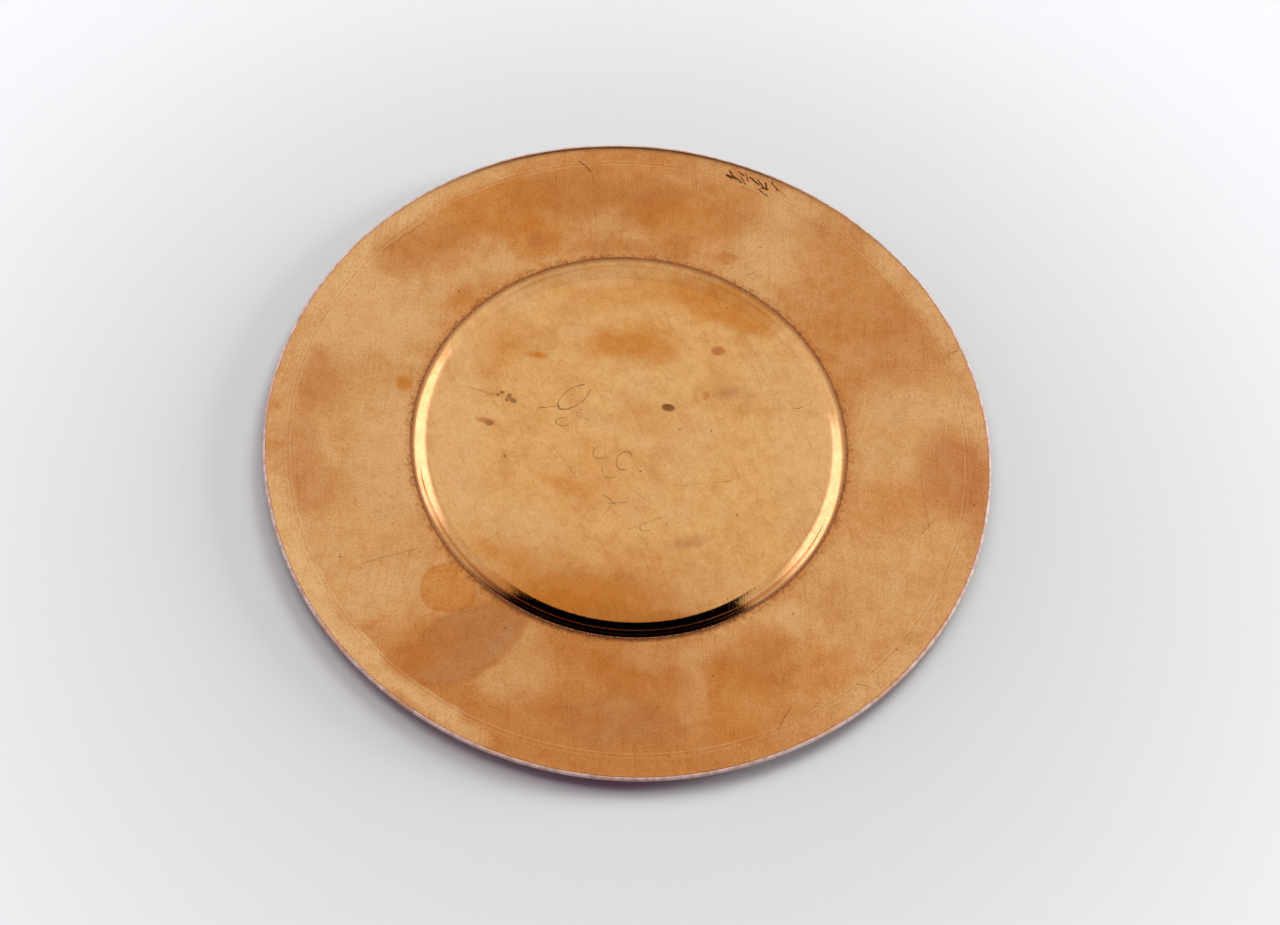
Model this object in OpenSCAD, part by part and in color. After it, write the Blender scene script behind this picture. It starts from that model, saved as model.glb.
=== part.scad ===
// Paten: a thin round gilt plate with a broad flat rim and a shallow flat-floored well.
// It is built from sheet and wire: the well pan is a dished disc, the rim is a cut ring
// soldered round it, a narrow border strip lies on the rim's margin, and a half-round
// wire closes the edge. The origin is at the middle of the face that the plate rests on.

/* [Rim] */
// Outside diameter of the plate, over the edge wire
plate_d = 150; // [120:1:240]
// Thickness of the rim sheet
rim_t = 0.9; // [0.6:0.05:2]

/* [Well] */
// Diameter of the seam where the rim meets the well pan
seam_d = 90; // [60:1:100]
// Depth of the well, from the rim's upper face down to the floor
well_depth = 2.5; // [1.5:0.1:4.5]
// Thickness of the well pan's sheet
pan_t = 0.6; // [0.5:0.05:1.2]
// Inside radius of the curved wall, where the floor turns up
wall_r = 6; // [5:0.25:9]

/* [Border] */
// Width of the border strip on the rim's margin
border_w = 5; // [3:0.25:8]
// Thickness of the border strip
border_t = 0.15; // [0.1:0.01:0.4]
// Width of the edge wire, measured along a radius
wire_w = 0.6; // [0.45:0.05:1.2]

/* [Solder] */
// Width of the soldered joint between the well pan and the rim
well_gap = 0.08; // [0.05:0.01:0.2]
// Width of the soldered joint between the rim and the edge wire
edge_gap = 0.08; // [0.05:0.01:0.2]
// How far the solder lies below the faces beside it
solder_sink = 0.06; // [0.02:0.01:0.09]
// Size of the solder fillet under the rim, beside the well's wall
fillet_leg = 0.6; // [0.3:0.05:1]
// Width of the solder fillet along the border strip's inner edge
border_fillet = 0.25; // [0.1:0.05:0.6]

/* [Hidden] */
$fn = 96;
slack = 1;                           // how far a cutting shape runs past what it cuts
plate_r = plate_d / 2;
seam_r = seam_d / 2;
rim_top = pan_t + well_depth;        // the floor lies on the rest face, so this sets the rim
rim_low = rim_top - rim_t;
border_top = rim_top + border_t;

outer_r = wall_r + pan_t;            // the pan's underside turns up on this radius
turn_z = outer_r;                    // height of the centre that both radii turn about
pan_top_r = seam_r - well_gap;       // the pan's outer corner, at the rim's upper face
floor_r = pan_top_r - reach(rim_top);

wire_h = rim_t + border_t;           // the wire is as tall as the edge that it closes
wire_round = wire_h / 2;
wire_in = plate_r - wire_w;
rim_out = wire_in - edge_gap;        // the rim and the border strip end here
border_in = plate_r - border_w - wire_w;

// How far outside the flat floor the pan's underside has come at height z
function reach(z) = sqrt(outer_r * outer_r - (outer_r - z) * (outer_r - z));

// A flat ring of the given radii and heights, as the section to be turned
module band_section(r_in, r_out, z_low, z_high) {
    translate([r_in, z_low]) square([r_out - r_in, z_high - z_low]);
}

// A disc in the section, about the centre that the curved wall turns on
module turn_disc(r) {
    translate([floor_r, turn_z]) circle(r = r);
}

// Dished disc: a flat floor whose sheet turns up on a radius and is trimmed level on top
module well_pan() {
    color("goldenrod")
    rotate_extrude() {
        band_section(0, floor_r, 0, pan_t);
        intersection() {
            difference() {
                turn_disc(outer_r);
                turn_disc(wall_r);
            }
            band_section(floor_r, seam_r, 0, rim_top);
        }
    }
}

// Broad flat ring cut from sheet, bored to drop over the well pan
module rim_flange() {
    color("peru")
    rotate_extrude()
        band_section(seam_r, rim_out, rim_low, rim_top);
}

// Thin strip laid on the rim's margin
module border_band() {
    color("sandybrown")
    rotate_extrude()
        band_section(border_in, rim_out, rim_top, border_top);
}

// Half-round wire closing the edges of the rim and the border strip
module edge_wire() {
    wire_mid = plate_r - wire_round;
    color("mistyrose")
    rotate_extrude()
        intersection() {
            union() {
                translate([wire_mid, rim_low + wire_round]) circle(r = wire_round);
                band_section(wire_mid - wire_w, wire_mid, rim_low, border_top);
            }
            band_section(wire_in, plate_r, rim_low, border_top);
        }
}

// Solder filling the wedge between the pan's curved wall and the rim's bore,
// with a fillet under the rim
module well_solder() {
    fillet_low = max(0, rim_low - fillet_leg);
    fillet_in = floor_r + reach(fillet_low) - fillet_leg / 2; // inside the pan, so the pan cuts it
    color("saddlebrown")
    rotate_extrude()
        difference() {
            polygon([
                [floor_r, fillet_low],
                [fillet_in, fillet_low],
                [seam_r + fillet_leg, rim_low],
                [seam_r, rim_low],
                [seam_r, rim_top - solder_sink],
                [floor_r, rim_top - solder_sink],
            ]);
            turn_disc(outer_r);
        }
}

// Fine solder fillet along the border strip's inner edge
module border_solder() {
    color("saddlebrown")
    rotate_extrude()
        polygon([
            [border_in - border_fillet, rim_top],
            [border_in, rim_top],
            [border_in, border_top - solder_sink],
        ]);
}

// Solder between the edge wire and the sheets that it closes
module edge_solder() {
    color("saddlebrown")
    rotate_extrude()
        band_section(rim_out, wire_in, rim_low + solder_sink, border_top - solder_sink);
}

well_pan();
rim_flange();
border_band();
edge_wire();
well_solder();
border_solder();
edge_solder();
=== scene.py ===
import math
import random

import bpy
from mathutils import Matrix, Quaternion, Vector


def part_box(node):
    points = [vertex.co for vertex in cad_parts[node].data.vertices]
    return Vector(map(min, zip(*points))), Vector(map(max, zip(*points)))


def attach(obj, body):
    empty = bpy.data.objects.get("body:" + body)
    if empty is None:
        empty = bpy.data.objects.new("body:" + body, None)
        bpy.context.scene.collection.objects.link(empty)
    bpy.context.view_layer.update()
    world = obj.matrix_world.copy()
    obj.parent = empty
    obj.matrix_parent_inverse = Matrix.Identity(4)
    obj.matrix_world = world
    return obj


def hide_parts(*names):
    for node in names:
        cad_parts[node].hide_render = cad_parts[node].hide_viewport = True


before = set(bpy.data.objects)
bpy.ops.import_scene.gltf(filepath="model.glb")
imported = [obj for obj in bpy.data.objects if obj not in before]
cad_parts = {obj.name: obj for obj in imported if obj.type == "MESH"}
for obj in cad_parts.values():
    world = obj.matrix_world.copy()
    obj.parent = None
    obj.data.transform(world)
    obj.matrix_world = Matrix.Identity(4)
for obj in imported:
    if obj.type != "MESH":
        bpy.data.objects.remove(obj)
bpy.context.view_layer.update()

mm = 0.001
toMm = 1000.0

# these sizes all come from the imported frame
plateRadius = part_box("edge_wire")[1].x
rimLow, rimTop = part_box("rim_flange")[0].z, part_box("rim_flange")[1].z
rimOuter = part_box("rim_flange")[1].x
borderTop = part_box("border_band")[1].z
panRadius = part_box("well_pan")[1].x
print("frame read: plate radius", round(plateRadius * toMm, 2), "mm")


def srgb(red, green, blue):
    def linear(value):
        value = value / 255
        return value / 12.92 if value <= 0.04045 else ((value + 0.055) / 1.055) ** 2.4
    return (linear(red), linear(green), linear(blue), 1.0)


# how the nodes are laid out in the node editor
nodeRow = {"count": 30, "across": 190, "down": 260}


def put(tree, kind, feeds=None, **settings):
    # adds a node, sets its options and joins or fills its sockets
    node = tree.nodes.new(kind)
    row, column = divmod(len(tree.nodes), nodeRow["count"])
    node.location = (column * nodeRow["across"], -row * nodeRow["down"])
    for option, value in settings.items():
        setattr(node, option, value)
    for socket, value in (feeds or {}).items():
        if isinstance(value, bpy.types.NodeSocket):
            tree.links.new(value, node.inputs[socket])
        else:
            node.inputs[socket].default_value = value
    return node


def calc(tree, operation, *values, clamp=False):
    feeds = dict(enumerate(values))
    return put(tree, "ShaderNodeMath", feeds, operation=operation, use_clamp=clamp).outputs[0]


def vecCalc(tree, operation, *values, out=0, **named):
    feeds = dict(enumerate(values))
    feeds.update(named)
    return put(tree, "ShaderNodeVectorMath", feeds, operation=operation).outputs[out]


def combine(tree, x, y, z=0.0):
    return put(tree, "ShaderNodeCombineXYZ", {0: x, 1: y, 2: z}).outputs[0]


def split(tree, vector):
    return put(tree, "ShaderNodeSeparateXYZ", {0: vector}).outputs


def turnFlat(tree, vector, angle):
    return put(tree, "ShaderNodeVectorRotate", {"Vector": vector, "Angle": angle},
               rotation_type="Z_AXIS").outputs[0]


def flatten(tree, vector):
    return vecCalc(tree, "MULTIPLY", vector, (1, 1, 0))


def blend(tree, factor, first, second, mode="MIX"):
    return put(tree, "ShaderNodeMix", {0: factor, 6: first, 7: second},
               data_type="RGBA", blend_type=mode).outputs[2]


def ramp(tree, value, fromLow, fromHigh, toLow=0.0, toHigh=1.0, smooth=True):
    feeds = {0: value, 1: fromLow, 2: fromHigh, 3: toLow, 4: toHigh}
    return put(tree, "ShaderNodeMapRange", feeds,
               interpolation_type="SMOOTHSTEP" if smooth else "LINEAR").outputs[0]


def noise(tree, position, scale, detail, roughness=0.5, distortion=0.0, out=0):
    feeds = {"Vector": position, "Scale": scale, "Detail": detail,
             "Roughness": roughness, "Distortion": distortion}
    return put(tree, "ShaderNodeTexNoise", feeds).outputs[out]


def newGroup(name, **inputs):
    # a shared group takes the named inputs and puts out one mask
    group = bpy.data.node_groups.new(name, "ShaderNodeTree")
    for label, value in inputs.items():
        kind = "NodeSocketVector" if isinstance(value, tuple) else "NodeSocketFloat"
        socket = group.interface.new_socket(label, in_out="INPUT", socket_type=kind)
        socket.default_value = value
    group.interface.new_socket("mask", in_out="OUTPUT", socket_type="NodeSocketFloat")
    return group, put(group, "NodeGroupInput").outputs, put(group, "NodeGroupOutput").inputs


def cover(tree, group, **feeds):
    # the mask of a shared group, placed with its own values
    return put(tree, "ShaderNodeGroup", feeds, node_tree=group).outputs[0]


def makeSoftOval():
    # a soft-edged oval, in millimetres on the plate's face
    group, given, result = newGroup("softOval", position=(0, 0, 0), centre=(0, 0, 0),
                                    halfSize=(5, 5, 1), turn=0.0, softness=0.4)
    offset = vecCalc(group, "SUBTRACT", given["position"], given["centre"])
    turned = turnFlat(group, offset, given["turn"])
    scaled = vecCalc(group, "DIVIDE", turned, given["halfSize"])
    reach = vecCalc(group, "LENGTH", flatten(group, scaled), out=1)
    outer = calc(group, "ADD", 1.0, given["softness"])
    inner = calc(group, "SUBTRACT", 1.0, given["softness"])
    group.links.new(ramp(group, reach, outer, inner), result["mask"])
    return group


def strokeAt(group, gap, width):
    # full over the middle quarter of the stroke's width, then fading out
    return ramp(group, gap, width, calc(group, "MULTIPLY", width, 0.25))


def makeScratchLine():
    # a straight stroke between two points
    group, given, result = newGroup("scratchLine", position=(0, 0, 0), start=(0, 0, 0),
                                    end=(1, 0, 0), width=0.1)
    along = vecCalc(group, "SUBTRACT", given["end"], given["start"])
    there = flatten(group, vecCalc(group, "SUBTRACT", given["position"], given["start"]))
    share = calc(group, "DIVIDE", vecCalc(group, "DOT_PRODUCT", there, along, out=1),
                 vecCalc(group, "DOT_PRODUCT", along, along, out=1), clamp=True)
    foot = vecCalc(group, "SCALE", along, Scale=share)
    gap = vecCalc(group, "DISTANCE", there, foot, out=1)
    group.links.new(strokeAt(group, gap, given["width"]), result["mask"])
    return group


def makeScratchLoop():
    # an oval line, open at one end
    group, given, result = newGroup("scratchLoop", position=(0, 0, 0), centre=(0, 0, 0),
                                    halfSize=(2, 1, 1), turn=0.0, opening=0.0, width=0.1)
    offset = vecCalc(group, "SUBTRACT", given["position"], given["centre"])
    turned = turnFlat(group, offset, given["turn"])
    scaled = flatten(group, vecCalc(group, "DIVIDE", turned, given["halfSize"]))
    parts = split(group, scaled)
    sizes = split(group, given["halfSize"])
    reach = vecCalc(group, "LENGTH", scaled, out=1)
    gap = calc(group, "MULTIPLY", calc(group, "ABSOLUTE", calc(group, "SUBTRACT", reach, 1.0)),
               calc(group, "MINIMUM", sizes[0], sizes[1]))
    line = strokeAt(group, gap, given["width"])
    swing = calc(group, "ABSOLUTE", calc(group, "ARCTAN2", parts[1], parts[0]))
    closed = ramp(group, swing, given["opening"], calc(group, "ADD", given["opening"], 0.2))
    group.links.new(calc(group, "MULTIPLY", line, closed), result["mask"])
    return group


def makeMottle():
    # cloudy tarnish
    group, given, result = newGroup("mottle", position=(0, 0, 0), size=10.0, detail=4.0,
                                    low=0.4, high=0.6, seed=0.0)
    shift = combine(group, given["seed"], 0.0, given["seed"])
    shifted = vecCalc(group, "ADD", given["position"], shift)
    pitch = calc(group, "DIVIDE", 1.0, given["size"])
    cloud = noise(group, shifted, pitch, given["detail"], 0.62, 0.35)
    group.links.new(ramp(group, cloud, given["low"], given["high"]), result["mask"])
    return group


def makeHairLines():
    # fine rubbing lines that run one way and sway a little
    group, given, result = newGroup("hairLines", position=(0, 0, 0), turn=0.0, length=20.0,
                                    pitch=0.25, low=0.58, high=0.7)
    turned = turnFlat(group, given["position"], given["turn"])
    sway = calc(group, "MULTIPLY", noise(group, turned, 0.03, 0.0), 9.0)
    bent = vecCalc(group, "ADD", turned, combine(group, 0.0, sway))
    spans = combine(group, calc(group, "DIVIDE", 1.0, given["length"]),
                    calc(group, "DIVIDE", 1.0, given["pitch"]))
    lines = noise(group, vecCalc(group, "MULTIPLY", bent, spans), 1.0, 2.0)
    group.links.new(ramp(group, lines, given["low"], given["high"]), result["mask"])
    return group


def makeSpecks():
    # scattered pin-prick marks of mixed size
    group, given, result = newGroup("specks", position=(0, 0, 0), spacing=6.0, largest=0.35,
                                    seed=0.0)
    shifted = vecCalc(group, "ADD", flatten(group, given["position"]),
                      combine(group, given["seed"], given["seed"]))
    pitch = calc(group, "DIVIDE", 1.0, given["spacing"])
    cells = put(group, "ShaderNodeTexVoronoi", {"Vector": shifted, "Scale": pitch},
                voronoi_dimensions="2D").outputs
    gap = calc(group, "MULTIPLY", cells["Distance"], given["spacing"])
    chance = split(group, cells["Color"])[0]
    size = calc(group, "MULTIPLY", calc(group, "POWER", chance, 3.0), given["largest"])
    mask = ramp(group, gap, size, calc(group, "MULTIPLY", size, 0.5))
    group.links.new(mask, result["mask"])
    return group


def makeRingLine():
    # a line round the plate at one radius, its width broken up by noise
    group, given, result = newGroup("ringLine", position=(0, 0, 0), radius=45.0, width=0.3,
                                    grain=0.6, ragged=0.5)
    reach = vecCalc(group, "LENGTH", flatten(group, given["position"]), out=1)
    gap = calc(group, "ABSOLUTE", calc(group, "SUBTRACT", reach, given["radius"]))
    pitch = calc(group, "DIVIDE", 1.0, given["grain"])
    rough = noise(group, given["position"], pitch, 3.0, 0.7)
    swell = calc(group, "MULTIPLY_ADD", calc(group, "SUBTRACT", rough, 0.5),
                 calc(group, "MULTIPLY", given["ragged"], 4.0), 1.0)
    width = calc(group, "MAXIMUM", calc(group, "MULTIPLY", given["width"], swell), 0.001)
    mask = ramp(group, gap, width, calc(group, "MULTIPLY", width, 0.45))
    group.links.new(mask, result["mask"])
    return group


softOval = makeSoftOval()
scratchLine = makeScratchLine()
scratchLoop = makeScratchLoop()
mottle = makeMottle()
hairLines = makeHairLines()
specks = makeSpecks()
ringLine = makeRingLine()
print("shared node groups made")


# the tones of the gilding, of what has settled on it, and of the painted dark reflection beside the
# seam and on the near wall
gilt = {
    "well": srgb(222, 168, 103), "rim": srgb(210, 151, 92), "border": srgb(211, 154, 98),
    "pale": srgb(219, 170, 116), "light": srgb(226, 180, 124), "brown": srgb(186, 113, 50),
    "deep": srgb(171, 100, 43), "red": srgb(185, 112, 62), "orange": srgb(197, 118, 38),
    "grey": srgb(177, 117, 74), "lip": srgb(150, 94, 56), "dark": srgb(84, 42, 26),
    # the first tone on the next line is near-black painted dark reflection, for the near side of
    # the seam
    "nearSeamDarkReflection": srgb(40, 15, 8), "hair": srgb(70, 28, 14), "crust": srgb(140, 72, 34),
    # the next tone is painted dark reflection, for the near wall of the well
    "nearWallDarkReflection": srgb(150, 84, 34),
}
# tones that the colour is multiplied by
film = {
    "dustDark": (0.82, 0.72, 0.65, 1.0), "dustLight": (1.07, 1.16, 1.34, 1.0),
    "veil": (0.94, 0.88, 0.80, 1.0), "streak": (0.94, 0.89, 0.83, 1.0),
}
# how strongly each thing shows, how far outlines wander (mm), and the roughness of the metal
wear = {
    "patches": 0.4, "cloud": 0.3, "bloom": 0.32, "rubbed": 0.2, "crossed": 0.2, "pricks": 0.55,
    "ovalShare": 0.82, "thinnest": 0.72, "outline": 1.6, "coarseWander": 7.0, "fineWander": 1.6,
    "steadyWander": 3.5, "jitter": 0.5, "polish": 0.10, "tarnished": 0.06, "scratched": 0.3,
    "smoothest": 0.025,
}
# how high each thing stands on the metal (mm), where what is cut in is below nothing
relief = {"grain": 0.006, "rubbed": -0.0012, "crossed": -0.0015, "marks": -0.03}
# cloudy layers: how wide (mm), how fine, where each starts and is full, and its own seed
cloudLayers = {
    "patches": {"size": 9.0, "low": 0.46, "high": 0.7, "seed": 31},
    "broken": {"size": 5.0, "detail": 6.0, "low": 0.3, "high": 0.6, "seed": 90},
    "cloud": {"size": 2.6, "detail": 5.0, "low": 0.4, "high": 0.7, "seed": 7},
    "bloom": {"size": 5.5, "detail": 4.0, "low": 0.45, "high": 0.76, "seed": 53},
    "veil": {"size": 3.4, "detail": 6.0, "low": 0.44, "high": 0.66, "seed": 17},
}
# noise behind the layers: scale (per mm), detail and roughness
grains = {
    "coarse": (0.11, 2.0), "fine": (0.6, 3.0), "dust": (2.3, 4.0, 0.85), "metal": (2.2, 6.0, 0.65),
}
dustFades = {"dustDark": (0.48, 0.66), "dustLight": (0.5, 0.32)}
pinPricks = {"spacing": 7.0, "largest": 0.34}
# rubbing lines: turn and the seed's share of it (radians), length, pitch (mm), start, full
lineLayers = {
    "rubbed": (1.35, 0.01, 14.0, 0.35, 0.52, 0.68),
    "crossed": (0.35, 0.02, 9.0, 0.22, 0.6, 0.72),
    "streaks": (0.9, 0.015, 20.0, 0.5, 0.55, 0.7),
}
# x, y, half length, half width (mm), turn (degrees), softness, tone, strength
rimStains = [
    # The first nine rows are broad bands: browner across the near and far sides of the rim, paler
    # at its left and right.
    (0, -49, 34, 5, 0, 0.5, "brown", 0.8), (0, -66, 46, 8, 0, 0.5, "brown", 0.45),
    (0, -73, 44, 5, 0, 0.5, "brown", 0.6), (-66, 4, 7, 26, 0, 0.6, "light", 0.35),
    (-50, 0, 6, 24, 0, 0.6, "light", 0.35), (56, -2, 16, 28, 0, 0.6, "light", 0.35),
    (0, -60, 48, 15, 0, 0.5, "brown", 0.5), (-58, 0, 14, 34, 0, 0.5, "pale", 0.4),
    (0, 60, 40, 12, 0, 0.5, "brown", 0.25), (-63, 33, 4, 14, 32, 0.4, "light", 0.5),
    (-48, 57, 12, 4, 40, 0.4, "light", 0.4), (-66, -31, 3, 9, 25, 0.4, "light", 0.6),
    (-53, -49, 10, 3, -42, 0.4, "light", 0.5), (63, 36, 3, 12, 28, 0.5, "light", 0.3),
    (-30, -66, 9, 2, -24, 0.4, "light", 0.5), (-60, 20, 15, 9, 70, 0.5, "pale", 0.8),
    (-50, 25, 10, 7, 30, 0.5, "pale", 0.7), (-45, -12, 9, 14, 0, 0.6, "pale", 0.7),
    (-45, -40, 11, 7, 20, 0.5, "pale", 0.8), (-58, -33, 7, 5, -60, 0.6, "pale", 0.5),
    (24, 53, 8, 10, -10, 0.5, "pale", 0.9), (22, 41, 7, 3, -35, 0.5, "pale", 0.7),
    (29, 64, 6, 4, -20, 0.5, "pale", 0.7), (60, 17, 14, 5, 8, 0.4, "pale", 0.8),
    (52, -27, 11, 14, 30, 0.7, "pale", 0.4), (36, -36, 6, 3.5, 20, 0.5, "pale", 0.8),
    (19, -53, 3.5, 9, 0, 0.5, "pale", 0.6), (-16, -53, 6, 8, 0, 0.5, "pale", 0.6),
    (-31, 40, 8, 3, 30, 0.6, "pale", 0.6), (-40, 33, 6, 4, 40, 0.5, "pale", 0.5),
    (-55, 50, 9, 4, 45, 0.6, "pale", 0.6), (53, 3, 6, 5, 0, 0.6, "pale", 0.5),
    (-10, 52, 6, 4, 0, 0.7, "pale", 0.4), (-36, 54, 13, 8, 20, 0.45, "orange", 0.7),
    (-20, 59, 12, 7, 12, 0.5, "brown", 0.8), (-3, 60, 8, 6, -20, 0.5, "brown", 0.8),
    (-26, 46, 6, 4.5, 30, 0.3, "orange", 0.8), (-25.5, 46, 1.8, 2.2, 0, 0.6, "red", 0.7),
    (-3, 60.5, 3, 2.5, 20, 0.6, "red", 0.6), (-46, 43, 9, 5, 40, 0.5, "brown", 0.6),
    (-54, 37, 4, 5, 60, 0.5, "brown", 0.6), (7, 56, 9, 6, 0, 0.5, "orange", 0.5),
    (16, 60, 6, 5, 0, 0.5, "brown", 0.4), (6, 48.5, 3, 2.5, 0, 0.5, "brown", 0.6),
    (15, 47.5, 3, 1.2, 0, 0.4, "brown", 0.7), (-38, 29, 5, 3, 50, 0.6, "orange", 0.6),
    (-5, 47.5, 12, 2, 2, 0.6, "brown", 0.7), (46, 33, 14, 16, 0, 0.5, "brown", 0.5),
    (56, 32, 9, 10, 40, 0.5, "red", 0.25), (40, 55, 9, 6, -40, 0.6, "brown", 0.4),
    (34, 60, 4, 2, -30, 0.5, "grey", 0.4), (67, 2, 8, 10, 10, 0.35, "red", 0.75),
    (72, -4, 4, 12, 10, 0.5, "red", 0.6), (56, -6, 8, 5, 10, 0.6, "orange", 0.5),
    (68, 26, 4, 7, 20, 0.6, "brown", 0.4), (-64, 3, 5, 8, 0, 0.6, "brown", 0.7),
    (-67, -13, 5, 9, 10, 0.5, "red", 0.5), (-62, -22, 6, 5, 20, 0.6, "red", 0.5),
    (-48, 6.5, 1.8, 1.8, 0, 0.5, "orange", 0.8), (-55, 8, 5, 4, 0, 0.7, "brown", 0.3),
    (-67, 5, 4, 8, 0, 0.6, "red", 0.35), (-32, -38.5, 5, 5.5, 0, 0.15, "orange", 0.7),
    (-24, -43, 5.5, 6, 20, 0.3, "brown", 0.55), (-27, -50.5, 12, 6.5, 42, 0.19, "grey", 0.75),
    (-34, -52, 7, 5, 40, 0.4, "brown", 0.6), (-36, -55, 5, 3, 20, 0.3, "brown", 0.6),
    (3, -53, 5, 6, 20, 0.4, "brown", 0.8), (12, -56, 7, 9, 0, 0.32, "brown", 0.6),
    (5, -63, 12, 5, 0, 0.4, "grey", 0.6), (31, -46, 8, 7, 20, 0.32, "brown", 0.6),
    (27, -56, 8, 8, 0, 0.35, "orange", 0.4), (44, -46, 6, 5, 30, 0.5, "orange", 0.35),
    (-6, -61, 8, 5, 0, 0.6, "brown", 0.5), (-25, -63, 9, 3, -20, 0.6, "brown", 0.4),
    (-50, -50, 8, 3, -40, 0.6, "red", 0.35), (50, -14, 6, 4, 0, 0.6, "orange", 0.35),
    (46, -5, 2, 5, 0, 0.6, "brown", 0.3), (-12, 69, 14, 3, 10, 0.6, "orange", 0.35),
    (42, 12, 3, 9, 10, 0.6, "brown", 0.35), (10, -48, 8, 3, 0, 0.6, "pale", 0.4),
]
wellStainsAndReflections = [
    # The umber row and the two deep rows at y -37 to -41.5 are painted dark reflection across the
    # near wall of the well.
    (0, -41.5, 26, 5.5, 0, 0.5, "nearWallDarkReflection", 1.0), (0, 7, 12, 6, 0, 0.6, "light", 0.45),
    (2, 18, 11, 6, 0, 0.6, "light", 0.35), (-4, -37, 24, 8, 3, 0.5, "deep", 0.75),
    (-2, -39.5, 17, 3.5, 2, 0.5, "deep", 0.6), (0, -28, 26, 6, 0, 0.7, "brown", 0.35),
    # The broad light rows at x -36 and 36 make the floor paler at its left and right; the broad
    # rows at y -28 and 38 make it browner towards the near and far walls.
    (0, 38, 26, 5, 0, 0.6, "orange", 0.42), (-36, 0, 6, 22, 0, 0.5, "light", 0.63),
    (36, 4, 6, 22, 0, 0.5, "light", 0.63), (-2, 25, 9, 5, 0, 0.5, "orange", 0.91),
    (16, 37, 12, 4, -12, 0.5, "orange", 0.84), (-14, 26.5, 4, 1.8, 0, 0.6, "pale", 0.95),
    (-28, 31, 6, 3, 35, 0.6, "pale", 0.7), (-22, 19, 2.2, 0.8, 0, 0.6, "orange", 0.84),
    (16, 25.8, 1.5, 1.1, 20, 0.35, "red", 0.9), (7, 10.4, 1.4, 0.9, 0, 0.25, "dark", 0.95),
    (-29.4, 1.2, 0.9, 0.7, 0, 0.45, "dark", 0.65), (-30.5, 1.6, 1.8, 0.6, 0, 0.5, "red", 0.7),
    (-27.8, 8.8, 0.5, 0.4, 0, 0.45, "dark", 0.65), (-26.2, 8.2, 0.5, 0.6, 0, 0.45, "dark", 0.65),
    (-25.3, 7.2, 0.8, 0.5, -30, 0.45, "dark", 0.65),
    (-26.6, 7.2, 0.4, 0.4, 0, 0.45, "dark", 0.65), (-28.6, 8.2, 0.4, 0.3, 0, 0.45, "dark", 0.65),
    (-31, 9.2, 5, 0.35, -8, 0.5, "red", 0.6), (20, 16, 3, 2, -20, 0.6, "grey", 0.77),
    (15, -20, 4, 1.4, 25, 0.6, "grey", 0.7), (-10, -36, 20, 4, 5, 0.6, "orange", 0.77),
    (-22, -29, 8, 3, -20, 0.7, "orange", 0.56), (2, -39, 14, 2, 5, 0.6, "brown", 0.84),
    (-5, -8, 7, 6, 0, 0.8, "orange", 0.35), (12, 3, 9, 7, 0, 0.7, "pale", 0.49),
    (-20, -22, 9, 5, -10, 0.7, "pale", 0.7), (20, -30, 9, 4, 20, 0.6, "pale", 0.56),
    (-33, -12, 4, 10, 10, 0.7, "pale", 0.7), (-13, 40, 10, 2, 8, 0.6, "pale", 0.7),
    (4, 7, 6, 4, 0, 0.7, "orange", 0.42), (28, 22, 8, 9, -30, 0.7, "pale", 0.49),
    (-30, 20, 5, 7, -20, 0.7, "orange", 0.42), (9, -12, 12, 8, 0, 0.8, "pale", 0.42),
    (14.5, 14.5, 0.7, 1.0, 0, 0.5, "red", 0.6), (-12, -11, 5, 2.4, 0, 0.7, "orange", 0.56),
]
smallOval = 2.3       # a stain shorter than this keeps its place and its full strength
crispOval = 0.2       # one with a sharper edge than this has a darker outline
# start, end, width (mm), strength
rimScratches = [
    ((-19.2, 68.2), (-17.6, 67.2), 0.16, 0.9), ((-17.8, 67.4), (-16.3, 65.8), 0.14, 0.9),
    ((-16.2, 65.2), (-15.2, 62.8), 0.07, 0.5), ((-39, -31), (-49.5, -36), 0.12, 0.35),
    ((38, -55), (36, -60), 0.12, 0.6), ((50.5, -48), (53, -48.5), 0.1, 0.6),
    ((55, -48), (54.6, -46), 0.1, 0.5), ((65, 31.4), (66.6, 32.2), 0.12, 0.5),
    ((64, -9), (61, -13.5), 0.08, 0.5), ((38, -26), (39.5, -32), 0.1, 0.4),
    ((20, 44.2), (22, 45.6), 0.1, 0.4), ((-58, 38), (-50, 47), 0.14, 0.35),
]
# a rubbed patch of strokes on the border that says nothing
borderScratches = [
    ((13.4, 69.6), (14.6, 69.2), 0.50, 1.0), ((13.8, 70.9), (15.2, 68.9), 0.24, 1.0),
    ((15.0, 69.4), (16.6, 68.3), 0.27, 1.0), ((15.6, 71.2), (17.0, 70.1), 0.18, 1.0),
    ((16.4, 69.6), (17.6, 68.0), 0.21, 1.0), ((17.4, 70.6), (18.2, 68.8), 0.18, 1.0),
    ((18.4, 69.8), (20.6, 68.2), 0.24, 1.0), ((17.0, 67.2), (19.6, 66.2), 0.20, 1.0),
    ((20.2, 69.4), (21.6, 67.6), 0.21, 1.0), ((20.6, 67.0), (22.8, 65.4), 0.21, 1.0),
    ((22.0, 68.8), (22.4, 67.2), 0.33, 1.0), ((21.2, 67.4), (22.6, 67.3), 0.33, 1.0),
    ((23.2, 69.2), (24.8, 67.2), 0.17, 1.0), ((24.2, 68.0), (26.6, 66.2), 0.15, 0.6),
    ((18.8, 66.2), (19.8, 65.4), 0.22, 1.0),
]
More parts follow.
